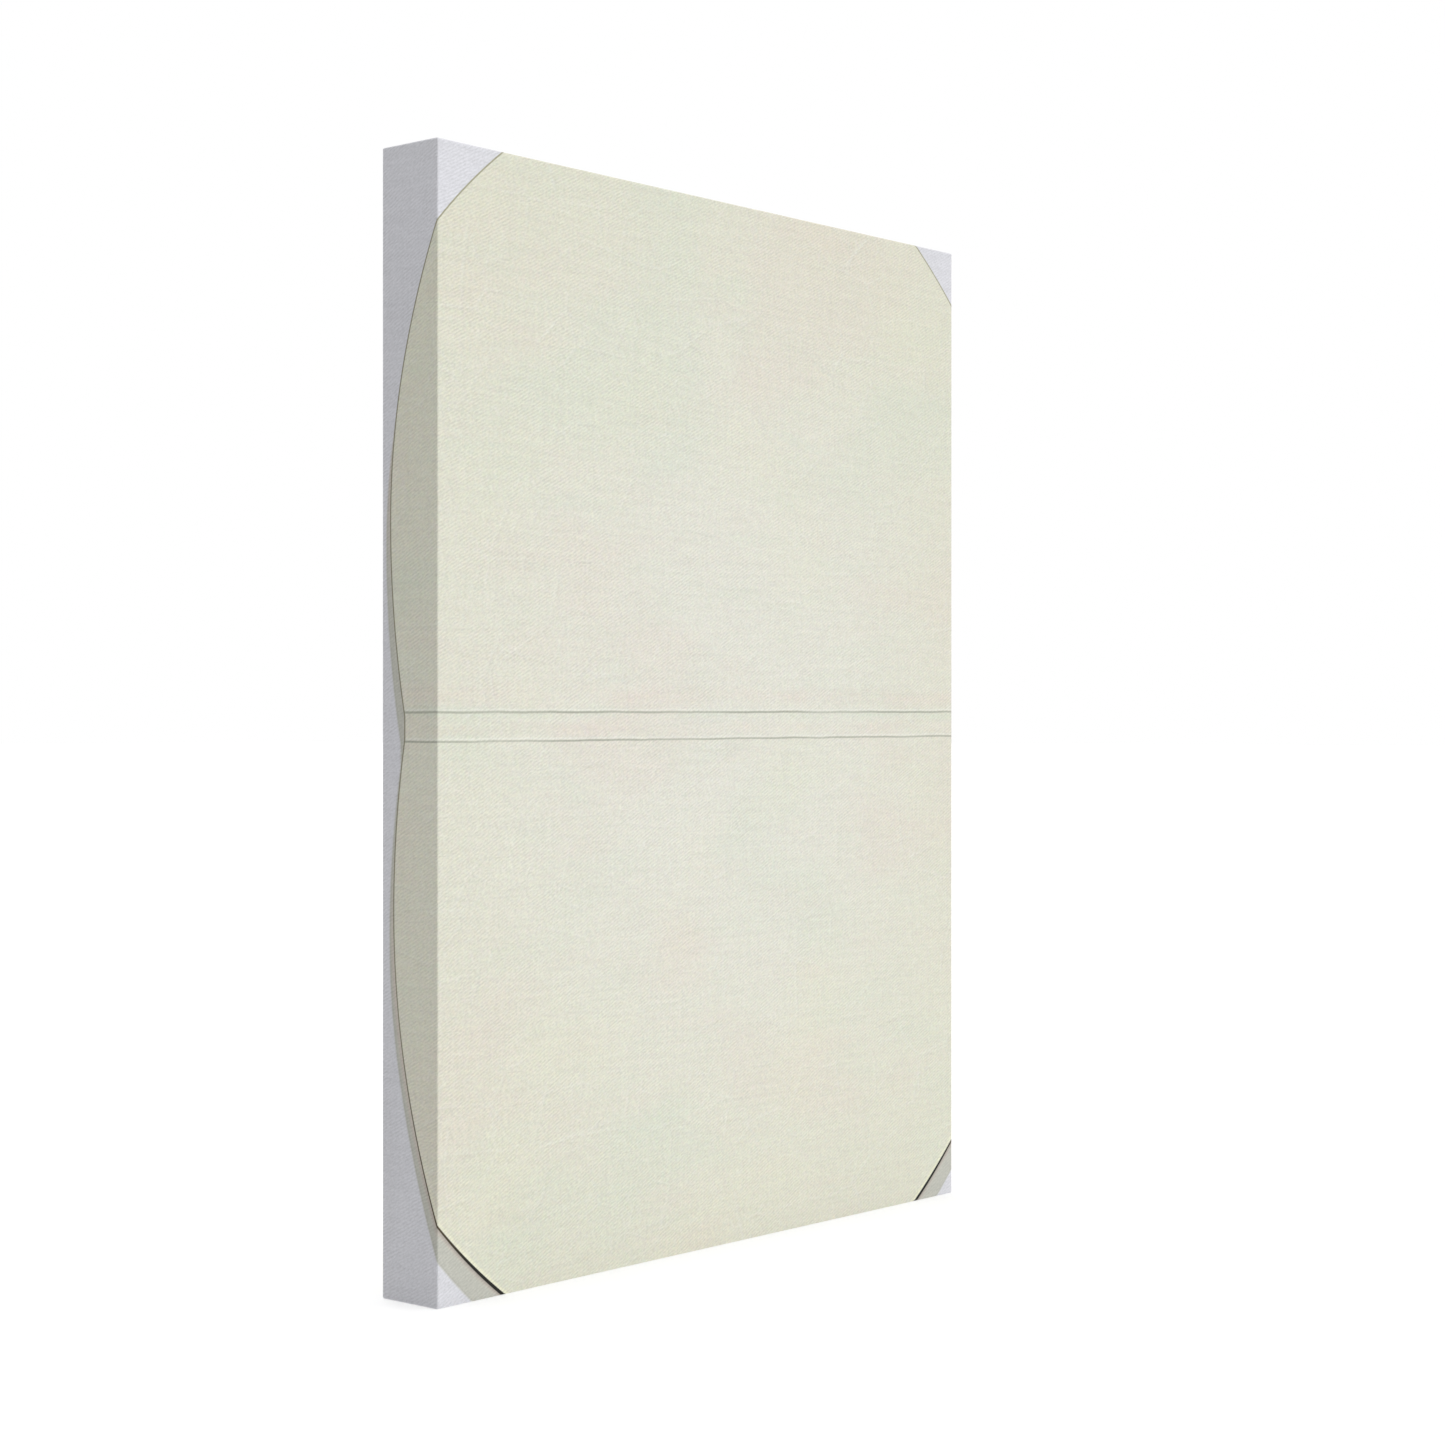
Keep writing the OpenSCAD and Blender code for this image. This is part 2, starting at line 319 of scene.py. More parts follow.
def weave_height(g, p, q):
    """Twill ribs running up to the right, broken up by uneven yarns, about 0 to 1."""
    c, s = math.cos(TWILL_ANGLE), math.sin(TWILL_ANGLE)
    along = g.add(g.mul(p, c), g.mul(q, s))
    across = g.sub(g.mul(q, c), g.mul(p, s))
    drift = g.mul(g.noise(g.vector(p, q, 0.0), 70.0, 3.0, 0.6), TWILL_DRIFT)
    ribs = g.math("SINE", g.mul(g.add(across, drift), 2 * math.pi / TWILL_PITCH))
    clear = g.rise(g.noise(g.vector(p, q, 3.0), 40.0, 3.0), 0.35, 0.62, RIB_FAINT, RIB_CLEAR)
    yarn = g.noise(g.vector(g.mul(along, 0.45), across, 0.0), 1100.0, 2.0, 0.6)
    slub = g.noise(g.vector(g.mul(p, 0.05), q, 6.0), 420.0, 2.0, 0.6)
    thread = g.noise(g.vector(p, g.mul(q, 0.05), 8.0), 420.0, 2.0, 0.6)
    lump = g.noise(g.vector(g.mul(p, 0.6), q, 10.0), 190.0, 3.0, 0.65)
    height = g.math("MULTIPLY_ADD", yarn, YARN_SHARE, g.mul(ribs, clear))
    height = g.math("MULTIPLY_ADD", slub, SLUB_SHARE, height)
    height = g.add(height, g.rise(slub, 0.66, 0.74, 0.0, -DARK_SLUB))
    height = g.math("MULTIPLY_ADD", thread, THREAD_SHARE, height)
    return g.math("MULTIPLY_ADD", g.sub(lump, 0.5), LUMP_SHARE, height)


def creases(g, p, q, scale, seed, thickness):
    """Nearly straight wrinkles: edges of irregular cells that come and go."""
    bent = g.noise(g.vector(p, q, seed), 30.0, 1.0, colour=True)
    warped = g.node("ShaderNodeVectorMath", {"operation": "MULTIPLY_ADD"})
    g.plug(warped.inputs[0], bent)
    warped.inputs[1].default_value = (CREASE_BEND, CREASE_BEND, 0.0)
    g.plug(warped.inputs[2], g.vector(g.add(p, seed), g.mul(q, 1.3), 0.0))
    cells = g.node("ShaderNodeTexVoronoi",
                   {"feature": "DISTANCE_TO_EDGE", "voronoi_dimensions": "2D"},
                   Vector=warped.outputs[0], Scale=scale)
    line = g.inside(g.sub(cells.outputs["Distance"], thickness * scale / 2), thickness * scale)
    here = g.rise(g.noise(g.vector(p, q, seed + 2.0), 21.0, 2.0), 0.42, 0.62)
    return g.mul(line, here)


def wrinkle_shading(g, p, q):
    """Painted highlight and painted shade of fine curved wrinkles that run mostly sideways: +1 on
    the painted highlight, -1 on the painted shade.
    """
    level = g.sub(g.noise(g.vector(g.mul(p, 0.35), q, 2.0), 75.0, 2.0, 0.55, 0.5), 0.5)
    here = g.rise(g.noise(g.vector(p, q, 9.0), 16.0, 2.0), 0.42, 0.60)
    light = g.band(g.sub(level, WRINKLE_SHADING_APART), WRINKLE_SHADING_HALF, WRINKLE_SHADING_SOFT)
    dark = g.band(g.add(level, WRINKLE_SHADING_APART), WRINKLE_SHADING_HALF, WRINKLE_SHADING_SOFT)
    return g.mul(g.sub(light, dark), here)


def printed_ground(g, p, q, outline, pale):
    """Lavender ground with the soft shade that the lobes throw on it."""
    high = g.math("ABSOLUTE", q)
    shade_line = lobes(g, p, q, g.rise(high, *SHADE_TURN, SHADE_OUT, 0.0),
                       g.rise(high, *SHADE_TURN, SHADE_SIDE_DROP, SHADE_DROP), SHADE_DROP)
    ground = g.shade(GROUND[:3], g.rise(pale, 0.3, 0.7, 0.975, 1.02))
    warm = g.mul(g.rise(outline, 1 * MM, 4 * MM, 1.0, 0.0), g.rise(high, 0.05, 0.14, 0.15, 1.0))
    shade = g.mix(warm, SHADE, SHADE_WARM)
    ground = g.mix(g.mul(g.inside(shade_line, 2 * MM), 0.95), ground, shade)
    rim = g.band(g.add(shade_line, 0.7 * MM), 0.3 * MM, 1.2 * MM)
    return g.mix(g.mul(rim, 0.22), ground, LINE_OLIVE)


def printed_cream(g, p, q, pale):
    """The lobes' cream: paler in the middle, with soft casts, creases and the two folds."""
    far = g.node("ShaderNodeVectorMath", {"operation": "LENGTH"}, Vector=g.vector(
        p, g.mul(q, 0.9), 0.0)).outputs["Value"]
    large = g.noise(g.vector(g.mul(p, 0.25), q, 0.0), 40.0, 3.0, 0.55, 0.4)
    other = g.noise(g.vector(g.mul(p, 0.28), q, 3.0), 46.0, 3.0, 0.55, 0.4)
    cream = g.mix(g.rise(far, 0.04, 0.34), CREAM_MIDDLE, CREAM_EDGE)
    cream = g.mix(g.rise(large, 0.48, 0.75, 0.0, 0.18), cream, PINK)
    cream = g.mix(g.rise(other, 0.48, 0.75, 0.0, 0.17), cream, GREEN)
    cream = g.mix(g.rise(pale, 0.5, 0.75, 0.0, 0.15), cream, YELLOW)
    broad = g.noise(g.vector(g.mul(p, 0.7), q, 20.0), 9.0, 2.0)
    cream = g.mix(g.rise(broad, 0.52, 0.66, 0.0, 0.20), cream, PINK)
    cream = g.mix(g.rise(broad, 0.46, 0.34, 0.0, 0.20), cream, GREEN)

    # Patchy casts that run along the folds
    for low, top, seed, cast in FOLD_CASTS:
        patchy = g.noise(g.vector(p, g.mul(q, 3.0), seed), 13.0, 3.0)
        waver = g.mul(g.sub(g.noise(g.vector(p, seed, 1.0), 16.0, 1.0), 0.5), CAST_WAVER)
        level = g.math("ABSOLUTE", g.sub(g.sub(q, waver), (low + top) / 2))
        near = g.rise(level, 0.0, (top - low) * 0.75, 1.0, 0.0)
        cream = g.mix(g.mul(near, g.rise(patchy, 0.40, 0.64, 0.04, 0.34)), cream, cast)

    # Faint creases, each light with a dark side
    for scale, seed, thickness in CREASES:
        light = creases(g, p, q, scale, seed, thickness)
        dark = creases(g, g.sub(p, CREASE_SHADOW[0]), g.add(q, CREASE_SHADOW[1]),
                       scale, seed, thickness)
        cream = g.mix(g.mul(light, 0.22), cream, FOLD_LIGHT)
        cream = g.mix(g.mul(dark, 0.06), cream, FOLD_COLOUR)

    # Fine colour speckle of the ink
    speckle = g.noise(g.vector(p, q, 11.0), 360.0, 2.0, 0.6, colour=True)
    cream = g.mix(0.11, cream, speckle, "OVERLAY")

    # Folds across the middle, each with a light edge above it
    for height, seed, thickness in ((FOLD_TOP, 0.0, 1.1 * MM), (FOLD_LOW, 7.0, 0.95 * MM)):
        line, away = fold_line(g, p, q, height, seed, thickness)
        glow = g.band(g.sub(away, 1.3 * MM), 0.5 * MM, 0.9 * MM)
        cream = g.mix(g.mul(glow, 0.5), cream, FOLD_LIGHT)
        cream = g.mix(line, cream, FOLD_COLOUR)
    return cream


def printed_lobes(g, q, outline, ground, cream):
    """The cream inside the outline and the ground beyond it, and the outline between them."""
    turn = g.rise(q, -0.305, -0.20, 1.0, 0.0)
    inner = g.band(g.add(outline, 1.8 * MM), 0.8 * MM, 1.6 * MM)
    cream = g.mix(g.mul(g.mul(inner, turn), 0.9), cream, GLOW)
    dusk = g.mul(g.rise(outline, 0.4 * MM, 3.2 * MM, 0.45, 0.0), turn)
    ground = g.mix(dusk, ground, LINE_BROWN)
    surface = g.mix(g.inside(outline, 0.5 * MM), ground, cream)
    drawn = g.band(outline, g.rise(q, -0.30, -0.24, LINE_THICK / 2, LINE_THIN / 2), 0.45 * MM)
    line_ink = g.mix(g.rise(q, -0.25, -0.14), LINE_BROWN, LINE_OLIVE)
    line_ink = g.mix(g.rise(q, -0.285, -0.25), LINE_DARK, line_ink)
    line_ink = g.mix(g.rise(q, 0.24, 0.27), line_ink, LINE_PALE)
    return g.mix(drawn, surface, line_ink)


def primed_flaps(g, p, q, surface):
    """White primer where the print stops on the flaps, and shadow along their mitres."""
    beyond = g.math(
        "MAXIMUM",
        g.sub(g.math("ABSOLUTE", p), HALF.x + CANVAS_D + PRINT_BLEED),
        g.sub(g.math("ABSOLUTE", q), HALF.z + CANVAS_D + PRINT_BLEED))
    surface = g.mix(g.inside(beyond, 0.6 * MM), PRIMER, surface)
    folds = []
    for run, over, half_run, half_over in ((p, q, HALF.x, HALF.z), (q, p, HALF.z, HALF.x)):
        from_edge = g.sub(g.math("ABSOLUTE", over), half_over + CANVAS_D)
        to_mitre = g.sub(g.sub(half_run, from_edge), g.math("ABSOLUTE", run))
        on_flap = g.rise(from_edge, 0.0, 3 * MM)
        folds.append(g.mul(g.rise(to_mitre, 0.15 * MM, 1.5 * MM, 1.0, 0.0), on_flap))
    return g.shade(surface, g.sub(1.0, g.mul(g.math("MAXIMUM", *folds), MITRE_SHADOW)))


def print_material():
    """Printed, primed canvas: the composition, blotchy ink, a twill texture and painted highlight
    and shade along fine wrinkles.
    """
    g = Graph("canvas_print")
    flat = g.node("ShaderNodeAttribute", {"attribute_name": "cloth_place"}).outputs["Vector"]
    p, q, _ = g.parts(flat)
    pale = g.noise(g.vector(p, g.add(q, 5.0), 0.0), 9.0, 2.0)
    outline = lobes(g, p, q)
    ground = printed_ground(g, p, q, outline, pale)
    cream = printed_cream(g, p, q, pale)
    surface = printed_lobes(g, q, outline, ground, cream)
    surface = primed_flaps(g, p, q, surface)

    weave = weave_height(g, p, q)
    # The fine wrinkles' painted highlight and painted shade brighten and darken the colour of the
    # whole cloth
    gain = g.math("MULTIPLY_ADD", wrinkle_shading(g, p, q), WRINKLE_SHADING_GAIN,
                  g.rise(weave, *WEAVE_SPAN, *WEAVE_GAIN))
    roughness = g.rise(weave, *WEAVE_SPAN, 0.70, 0.58)
    return g.finish(g.shade(surface, gain), roughness, g.bump(weave, WEAVE_DEEP),
                    Specular_IOR_Level=0.25)


def raw_cotton_material():
    """Unprimed back of the cloth: a plain weave of slubby cotton yarns."""
    g = Graph("raw_cotton")
    x, y, z = g.parts(g.place())
    pitch = 2 * math.pi / COTTON_PITCH
    drift = g.mul(g.noise(g.place(), 40.0, 2.0), 2.5 * MM)
    warp = g.math("SINE", g.mul(g.add(g.add(x, y), drift), pitch))
    weft = g.math("SINE", g.mul(g.add(z, drift), pitch))
    over = g.mul(g.add(g.mul(warp, weft), 1.0), 0.5)
    slub_up = g.noise(g.vector(g.mul(x, 14.0), g.mul(y, 14.0), z), 40.0, 3.0, 0.6)
    slub_side = g.noise(g.vector(x, y, g.mul(z, 14.0)), 40.0, 3.0, 0.6)
    slub = g.mul(g.add(slub_up, slub_side), 0.5)
    colour = g.mix(g.rise(slub, 0.35, 0.65), srgb(208, 197, 172), srgb(228, 219, 198))
    fleck = g.rise(g.noise(g.place(), 420.0, 3.0, 0.7), 0.70, 0.76)
    colour = g.mix(g.mul(fleck, 0.7), colour, srgb(120, 96, 62))
    colour = g.shade(colour, g.rise(over, 0.0, 1.0, 0.88, 1.04))
    height = g.add(g.mul(over, 0.5), g.mul(slub, 0.6))
    return g.finish(colour, 0.92, g.bump(height, 0.16 * MM), Specular_IOR_Level=0.15)


# ---------------------------------------------------------------- wood
def wood_coordinates(g, along_axis):
    """(place along the grain, across, through the depth) for a bar along X or Z."""
    x, y, z = g.parts(g.place())
    return (x, z, y) if along_axis == "X" else (z, x, y)


def pine_material(name, along_axis, seed, heart):
    """Planed pine: growth rings round a heart outside the bar, fibres, knots and saw marks."""
    g = Graph(name)
    along, across, through = wood_coordinates(g, along_axis)
    stretched = g.vector(along, g.mul(across, 9.0), g.mul(through, 9.0))
    shifted = g.node("ShaderNodeVectorMath", {"operation": "ADD"})
    g.plug(shifted.inputs[0], stretched)
    shifted.inputs[1].default_value = (seed, seed * 1.7, 0.0)
    drift = g.sub(g.noise(shifted.outputs[0], 3.2, 3.0, 0.5), 0.5)

    # Knots, with the rings bent round each
    knot_place = g.vector(g.add(along, seed), g.mul(across, 0.9), g.mul(through, 0.9))
    cell = g.node("ShaderNodeTexVoronoi", {"feature": "F1"}, Vector=knot_place,
                  Scale=KNOT_SCALE)
    knot_far = g.mul(cell.outputs["Distance"], 1 / KNOT_SCALE)
    knot = g.rise(knot_far, KNOT_R, 7 * MM, 1.0, 0.0)
    swirl = g.rise(knot_far, 6 * MM, KNOT_SWIRL_R, 1.0, 0.0)

    u = g.sub(across, heart[0])
    v = g.sub(through, heart[1])
    radius = g.math("SQRT", g.add(g.mul(u, u), g.mul(v, v)))
    radius = g.add(radius, g.mul(drift, 11 * MM))
    radius = g.add(radius, g.mul(swirl, 5 * MM))
    years = g.noise(g.vector(radius, seed, 0.0), 70.0, 2.0)
    radius = g.add(radius, g.mul(years, 9 * MM))
    ring = g.math("FRACT", g.mul(radius, 1 / RING_PITCH))
    late = g.mul(g.rise(ring, 0.35, 0.90), g.rise(ring, 1.0, 0.955))
    late = g.mul(late, g.rise(years, 0.3, 0.7, 0.65, 1.0))

    fibre = g.noise(g.vector(g.mul(along, 7.0), g.mul(across, 260.0), g.mul(through, 260.0)),
                    6.0, 3.0, 0.6)
    pale = g.noise(g.vector(g.mul(along, 0.8), g.mul(across, 5.0), g.mul(through, 5.0)), 9.0, 2.0)
    early = g.mix(g.rise(pale, 0.35, 0.65), srgb(226, 198, 152), srgb(234, 210, 168))
    colour = g.mix(g.mul(late, 0.62), early, srgb(190, 142, 88))
    colour = g.shade(colour, g.rise(fibre, 0.3, 0.7, 0.90, 1.05))
    core = g.noise(g.vector(along, across, through), 500.0, 2.0)
    knot_colour = g.mix(core, srgb(120, 74, 40), srgb(152, 100, 58))
    colour = g.mix(g.mul(swirl, 0.25), colour, srgb(186, 136, 84))
    colour = g.mix(g.mul(knot, 0.9), colour, knot_colour)

    saw = g.math("SINE", g.add(g.mul(along, 2 * math.pi / SAW_PITCH), g.mul(drift, 14.0)))
    height = g.add(g.mul(fibre, 0.5), g.mul(late, 0.35))
    height = g.add(height, g.mul(saw, 0.05))
    roughness = g.rise(fibre, 0.3, 0.7, 0.62, 0.5)
    return g.finish(colour, roughness, g.bump(height, 0.12 * MM), Specular_IOR_Level=0.35)


def beech_material(name, along_axis):
    """Key wood: even, pinkish beech with short dark flecks."""
    g = Graph(name)
    along, across, through = wood_coordinates(g, along_axis)
    fibre = g.noise(g.vector(g.mul(along, 10.0), g.mul(across, 200.0), g.mul(through, 200.0)),
                    6.0, 3.0, 0.6)
    fleck_place = g.vector(g.mul(along, 0.3), across, through)
    fleck = g.rise(g.noise(fleck_place, 1500.0, 1.0), 0.62, 0.70)
    wide = g.noise(g.vector(g.mul(along, 2.0), g.mul(across, 30.0), g.mul(through, 30.0)), 7.0, 2.0)
    colour = g.mix(g.rise(wide, 0.35, 0.65), srgb(208, 170, 130), srgb(222, 188, 150))
    colour = g.shade(colour, g.rise(fibre, 0.3, 0.7, 0.92, 1.04))
    colour = g.mix(g.mul(fleck, 0.5), colour, srgb(140, 94, 60))
    height = g.sub(fibre, g.mul(fleck, 0.4))
    return g.finish(colour, 0.55, g.bump(height, 0.08 * MM), Specular_IOR_Level=0.35)


# ---------------------------------------------------------------- metal and rubber
def metal_material(name, base, dull, roughness, grain):
    """Plated steel: cloudy plating, fine scratches and a brushed or drawn grain."""
    g = Graph(name)
    place = g.place()
    cloud = g.noise(place, 260.0, 3.0, 0.6)
    x, y, z = g.parts(place)
    fine = g.noise(g.vector(g.mul(x, grain[0]), g.mul(y, grain[1]), g.mul(z, grain[2])),
                   900.0, 3.0, 0.6)
    spots = g.rise(g.noise(place, 1400.0, 2.0), 0.66, 0.74)
    colour = g.mix(g.rise(cloud, 0.35, 0.65), base, dull)
    colour = g.shade(colour, g.rise(fine, 0.3, 0.7, 0.9, 1.05))
    rough = g.add(g.rise(cloud, 0.3, 0.7, roughness - 0.06, roughness + 0.08), g.mul(spots, 0.15))
    return g.finish(colour, rough, g.bump(fine, 0.03 * MM), Metallic=1.0)


def rubber_material():
    """Soft grey rubber: mottled, dusty in its pores and a little shiny on top."""
    g = Graph("pad_rubber")
    place = g.place()
    mottle = g.noise(place, 300.0, 3.0, 0.6)
    pores = g.noise(place, 2200.0, 2.0, 0.6)
    colour = g.mix(g.rise(mottle, 0.35, 0.65), srgb(70, 70, 72), srgb(88, 87, 86))
    dust = g.rise(pores, 0.60, 0.72)
    colour = g.mix(g.mul(dust, 0.4), colour, srgb(140, 138, 134))
    roughness = g.rise(mottle, 0.3, 0.7, 0.55, 0.72)
    return g.finish(colour, roughness, g.bump(pores, 0.05 * MM), Specular_IOR_Level=0.4)


# ---------------------------------------------------------------- mesh helpers
def new_object(name, points, faces, materials, smooth=True):
    mesh = bpy.data.meshes.new(name)
    mesh.from_pydata([tuple(p) for p in points], [], [tuple(f) for f in faces])
    for material in materials:
        mesh.materials.append(material)
    if smooth:
        mesh.shade_smooth()
    mesh.update()
    made = bpy.data.objects.new(name, mesh)
    bpy.context.scene.collection.objects.link(made)
    return made


def apply_modifiers(obj):
    """Bakes an object's modifiers into its mesh."""
    bpy.context.view_layer.update()
    graph = bpy.context.evaluated_depsgraph_get()
    mesh = bpy.data.meshes.new_from_object(obj.evaluated_get(graph), depsgraph=graph)
    mesh.name = obj.name
    obj.modifiers.clear()
    obj.data = mesh


def sharpen(obj, angle):
    """Marks the edges that turn by more than angle as sharp."""
    obj.data.set_sharp_from_angle(angle=math.radians(angle))


def smooth_step(value, low, high):
    t = np.clip((value - low) / (high - low), 0, 1)
    return t * t * (3 - 2 * t)


def staple_places(length):
    """Evenly spaced places along a side, from its middle."""
    run = length - 2 * STAPLE_END
    gaps = math.ceil(run / STAPLE_PITCH - 1e-9)
    return [-run / 2 + i * run / gaps for i in range(gaps + 1)]


def side_length(side):
    return CANVAS_W if side in ("top", "bottom") else CANVAS_H


# ---------------------------------------------------------------- the wrapped cloth
NEAR_CORNER = (0, 0.586, 1, 1.3, 1.6, 1.9, 2.4, 4)     # in edge radii
TUCK_AT = 1.6 * EDGE_R                                 # groove beside the tucked fold
TUCK_DEEP = 0.3 * MM


def stations(length):
    """Mesh lines across one way of the front, close together at both ends."""
    near = np.array(NEAR_CORNER) * EDGE_R
    first = near[-1]
    count = math.ceil((length - 2 * first) / GRID)
    between = np.linspace(first - length / 2, length / 2 - first, count + 1)[1:-1]
    return np.concatenate([near - length / 2, between, (length / 2 - near)[::-1]])


def depth_stations():
    """Mesh lines from the front edge back along a side, without the front edge itself."""
    near = np.array(NEAR_CORNER[:3] + (3,)) * EDGE_R
    count = math.ceil((CANVAS_D - 2 * near[-1]) / GRID)
    between = np.linspace(near[-1], CANVAS_D - near[-1], count + 1)[1:-1]
    return np.concatenate([near[1:], between, (CANVAS_D - near)[::-1]])


def flap_stations():
    """Mesh lines from the back edge inwards to the cut edge of a flap."""
    near = np.array(NEAR_CORNER[1:3] + (2,)) * EDGE_R
    between = np.linspace(near[-1], FLAP_W - 0.5 * MM, 11)[1:]
    return np.concatenate([near, between, [FLAP_W]])


def on_rounded_box(point):
    """The point moved from a sharp box onto the same box with rounded edges, and its normal."""
    inner = Vector(max(-h + EDGE_R, min(h - EDGE_R, c)) for c, h in zip(point, HALF))
    out = (point - inner).normalized()
    return inner + out * EDGE_R, out


def front_height(x, z):
    """The drum of cloth: a slight slack in the middle and very faint tension ripples."""
    u, v = x / HALF.x, z / HALF.z
    slack = -FRONT_SLACK * (1 - u ** 4) * (1 - v ** 4)
    edge = (1 - u ** 8) * (1 - v ** 8)
    ripple = noise.noise(Vector((x * 7, z * 7, 0.3)))
    ripple += 0.5 * noise.noise(Vector((x * 19, z * 19, 4)))
    return slack + FRONT_RIPPLE * ripple * edge


def flap_height(side, s, f, length):
    """Rise of a flap at s along the side and f in from the edge: puckers and the corner pleat."""
    places = staple_places(length)
    pitch = places[1] - places[0]
    free = float(smooth_step(f, 7 * MM, FLAP_W))
    phase = (s - places[0]) / pitch
    index = math.floor(phase)
    wave = 0.5 - 0.5 * math.cos(2 * math.pi * phase)
    vary = 0.55 + 0.45 * noise.noise(Vector((index * 3.7, SIDES.index(side) * 5.1, 0)))
    height = PUCKER * wave * free * vary
    nearest = min(abs(s - place) for place in places)
    from_staple = (nearest / (5 * MM)) ** 2 + ((f - STAPLE_INSET) / (3 * MM)) ** 2
    height -= STAPLE_DENT * math.exp(-from_staple)
    if side in ("top", "bottom"):
        from_mitre = (length / 2 - f) - abs(s)
        up = float(smooth_step(from_mitre, -0.01 * MM, 0.9 * MM))
        down = 1 - float(smooth_step(from_mitre, 4 * MM, 8.5 * MM))
        height += PLEAT * up * down * float(smooth_step(f, 0.2 * MM, 2 * MM))
    return height


def wrap_cloth():
    """The canvas as one sheet: the front grid, then rings round the sides and over the flaps."""
    xs, zs = stations(CANVAS_W), stations(CANVAS_H)
    nx, nz = len(xs), len(zs)
    sharp, height = [], []
    for z in zs:
        for x in xs:
            sharp.append(Vector((x, -HALF.y, z)))
            height.append(front_height(x, z))
    faces, places = [], []
    for j in range(nz - 1):
        for i in range(nx - 1):
            a = j * nx + i
            quad = (a, a + 1, a + nx + 1, a + nx)
            faces.append(quad)
            places.extend((sharp[k].x, sharp[k].z) for k in quad)

    # The front's outline, anticlockwise from its lower left corner, with the side of each step
    outline = [(i, 0) for i in range(nx - 1)] + [(nx - 1, j) for j in range(nz - 1)]
    outline += [(i, nz - 1) for i in range(nx - 1, 0, -1)]
    outline += [(0, j) for j in range(nz - 1, 0, -1)]
    step_side = [side for side, steps in zip(SIDES, (nx - 1, nz - 1) * 2) for _ in range(steps)]
    ring = [j * nx + i for i, j in outline]
    corners = [(xs[i], zs[j]) for i, j in outline]
    total = len(ring)

    def unrolled(side, x, z, travel, shrink):
        """Cloth coordinates of a point that has travelled round the edge of its side."""
        if side in ("bottom", "top"):
            return (x * shrink[0], math.copysign(HALF.z + travel, z))
        return (math.copysign(HALF.x + travel, x), z * shrink[1])

    def ring_height(side, x, z, e, f):
        """Rise of the cloth e back from the front edge and f in from the back edge."""
        s, length = (x, CANVAS_W) if side in ("bottom", "top") else (z, CANVAS_H)
        if f:
            inward = 1 - f / (length / 2)
            return flap_height(side, s * inward, f, length)
        soft = SIDE_RIPPLE * noise.noise(Vector((x * 30, e * 30, z * 30)))
        if side in ("bottom", "top"):
            from_groove = abs(HALF.x - abs(x) - TUCK_AT) / (0.5 * EDGE_R)
            deep = max(0.0, 1 - from_groove) * float(smooth_step(e, 0.5 * EDGE_R, 4 * EDGE_R))
            soft -= TUCK_DEEP * min(1.0, 1.6 * deep)
        return soft

    sides = [(e, 0.0) for e in depth_stations()]
    flaps = [(CANVAS_D, f) for f in flap_stations()]
    previous, near, old = ring, 0.0, (1.0, 1.0)
    for e, f in sides + flaps:
        far = e + f
        shrink = (1 - f / HALF.x, 1 - f / HALF.z)
        this = []
        for k, (x, z) in enumerate(corners):
            cut = 0.0
            if f >= FLAP_W:
                cut = CUT_WANDER * noise.noise(Vector((x * 60, z * 60, 9)))
            scale = (1 - (f + cut) / HALF.x, 1 - (f + cut) / HALF.z)
            this.append(len(sharp))
            sharp.append(Vector((x * scale[0], e - HALF.y, z * scale[1])))
            height.append(ring_height(step_side[k], x, z, e, f))
        for k in range(total):
            n = (k + 1) % total
            faces.append((previous[k], this[k], this[n], previous[n]))
            side = step_side[k]
            (xa, za), (xb, zb) = corners[k], corners[n]
            places.append(unrolled(side, xa, za, near, old))
            places.append(unrolled(side, xa, za, far, shrink))
            places.append(unrolled(side, xb, zb, far, shrink))
            places.append(unrolled(side, xb, zb, near, old))
        previous, near, old = this, far, shrink

    points = []
    for point, rise in zip(sharp, height):
        on, out = on_rounded_box(point)
        points.append(on + out * rise + MIDDLE)

    cloth = new_object("canvas_cloth", points, faces, [print_material(), raw_cotton_material()])
    place = cloth.data.attributes.new("cloth_place", "FLOAT_VECTOR", "CORNER")
    values = np.zeros((len(places), 3), np.float32)
    values[:, :2] = places
    place.data.foreach_set("vector", values.ravel())
    solid = cloth.modifiers.new("thickness", "SOLIDIFY")
    solid.thickness = CLOTH_T
    solid.offset = -1
    solid.material_offset = 1
    solid.material_offset_rim = 1
    apply_modifiers(cloth)
    sharpen(cloth, 55)
    return cloth


# ---------------------------------------------------------------- staples
def sweep(path, section, points, faces):
    """Adds a closed tube to points and faces. Path items are (place, side, up), section is 2-D."""
    first = len(points)
    count = len(section)
    for place, side, up in path:
        for a, b in section:
            points.append(place + side * a + up * b)
    for i in range(len(path) - 1):
        for j in range(count):
            a = first + i * count + j
            b = first + i * count + (j + 1) % count
            faces.append((a, b, b + count, a + count))
    faces.append(tuple(first + j for j in reversed(range(count))))
    faces.append(tuple(first + (len(path) - 1) * count + j for j in range(count)))


def wire_section(width, thick, cut):
    """A rectangle of flattened wire with its corners cut off."""
    w, t = width / 2, thick / 2
    return [(w - cut, -t), (w, cut - t), (w, t - cut), (w - cut, t),
            (cut - w, t), (-w, t - cut), (-w, cut - t), (cut - w, -t)]


def staple_path():
    """Half widths and heights along a staple, from one leg's tip over the crown to the other."""
    half = STAPLE_W / 2 - STAPLE_WIRE_T / 2
    top = STAPLE_BACK_Y
    tip = WOOD_BACK - STAPLE_LEG
    steps = 5
    left = [(-half, tip, 0.0), (-half, top - STAPLE_BEND, 0.0)]
    for i in range(1, steps + 1):
        turn = math.pi / 2 * i / steps
        left.append((STAPLE_BEND * (1 - math.cos(turn)) - half,
                     top - STAPLE_BEND * (1 - math.sin(turn)), turn))
    right = [(-a, y, math.pi - turn) for a, y, turn in reversed(left)]
    return left + right


